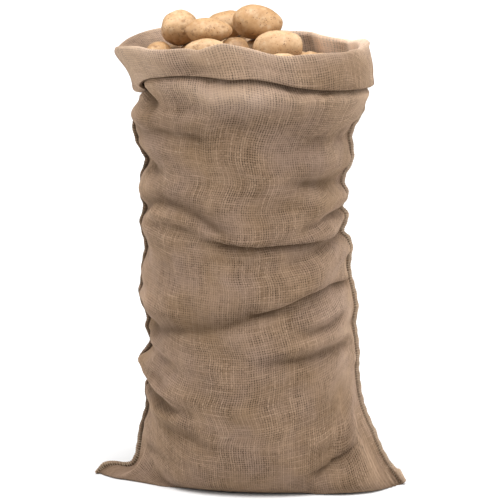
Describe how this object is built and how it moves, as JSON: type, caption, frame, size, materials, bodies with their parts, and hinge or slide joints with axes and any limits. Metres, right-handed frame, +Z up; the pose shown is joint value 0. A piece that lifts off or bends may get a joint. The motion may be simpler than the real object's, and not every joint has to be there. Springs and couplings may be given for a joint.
{
  "type": "hessian sack of potatoes",
  "caption": "Upright hessian sack with outside side seams, corner ears and a rolled-down mouth, filled with loose potatoes that show above the rim.",
  "frame": {"origin": "on the floor, midway between the outermost points left and right and front and back", "axes": "+Z up; +X along the bottom fold towards the sack's right-hand seam; -Y out of the front panel"},
  "size_m": [0.5834, 0.3836, 0.8848],
  "materials": {
    "hessian": "coarse plain-woven jute, matt, undyed",
    "potato_skin": "stands for thin pale yellow-brown potato skin, dull, speckled"
  },
  "bodies": {
    "root": {"sack": "hessian", "filling": "potato_skin", "potato_01": "potato_skin", "potato_02": "potato_skin", "potato_03": "potato_skin", "potato_04": "potato_skin", "potato_05": "potato_skin", "potato_06": "potato_skin", "potato_07": "potato_skin", "potato_08": "potato_skin", "potato_09": "potato_skin", "potato_10": "potato_skin", "potato_11": "potato_skin", "potato_12": "potato_skin", "potato_13": "potato_skin", "potato_14": "potato_skin", "potato_15": "potato_skin", "potato_16": "potato_skin", "potato_17": "potato_skin", "potato_18": "potato_skin", "potato_19": "potato_skin", "potato_20": "potato_skin", "potato_21": "potato_skin", "potato_22": "potato_skin", "potato_23": "potato_skin", "potato_24": "potato_skin", "potato_25": "potato_skin", "potato_26": "potato_skin"}
  },
  "joints": []
}
